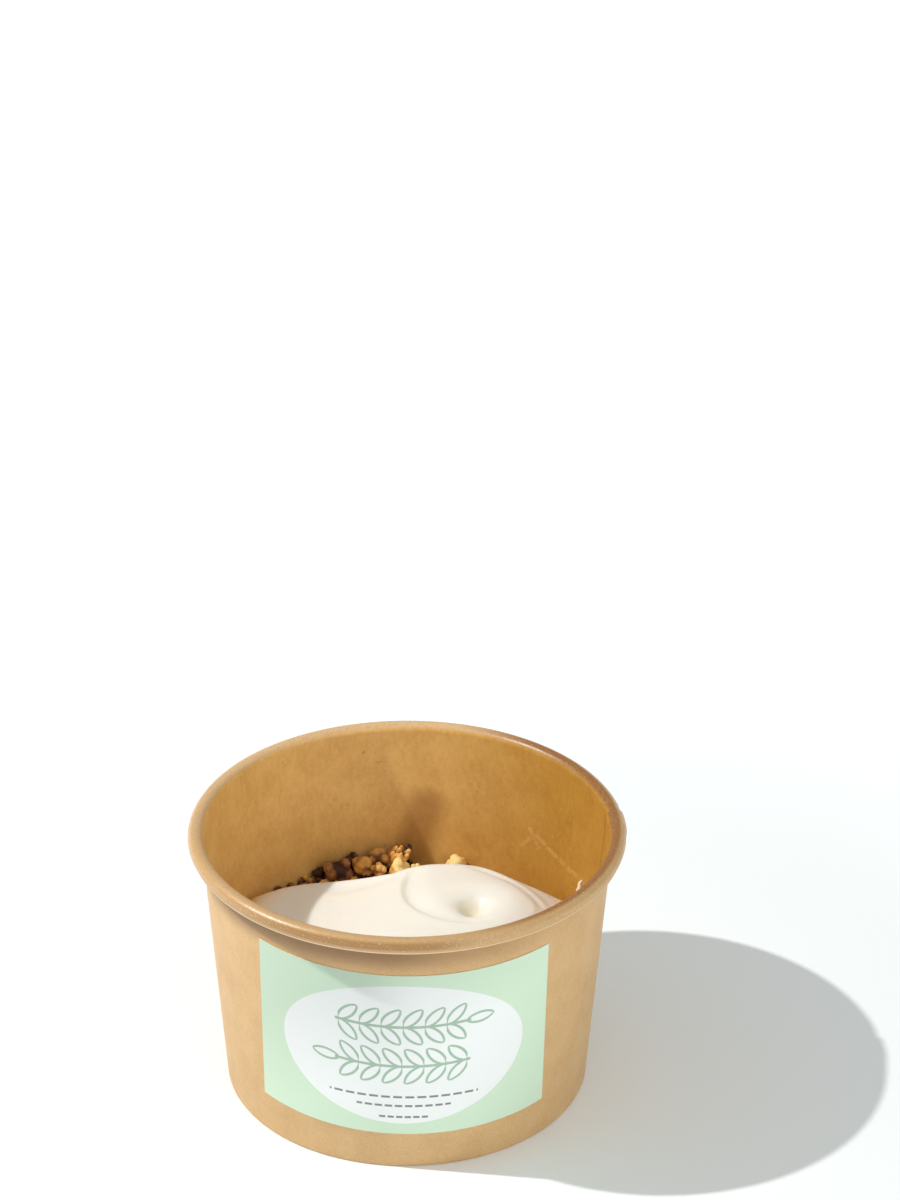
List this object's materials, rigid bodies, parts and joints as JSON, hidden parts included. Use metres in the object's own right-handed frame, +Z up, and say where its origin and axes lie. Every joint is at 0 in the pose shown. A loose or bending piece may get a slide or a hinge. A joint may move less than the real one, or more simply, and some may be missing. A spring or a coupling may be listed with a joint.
{
  "type": "yogurt granola cup",
  "caption": "Round kraft paper bowl with a rolled rim and a plain front label, holding a bed of granola under thick poured yogurt, open at the top.",
  "frame": {"origin": "centre of the ring that the cup stands on, at the floor", "axes": "+Z up through the open mouth, -Y towards the label at the front, +X to the right of the label"},
  "size_m": [0.1152, 0.115, 0.0747],
  "materials": {
    "kraft_paper": "matte",
    "kraft_base": "satin",
    "label_paper": "satin",
    "granola": "matte",
    "yogurt": "satin"
  },
  "bodies": {
    "root": {"cup_wall": "kraft_paper", "cup_base": "kraft_base", "label": "label_paper", "granola": "granola", "yogurt": "yogurt"}
  },
  "joints": []
}
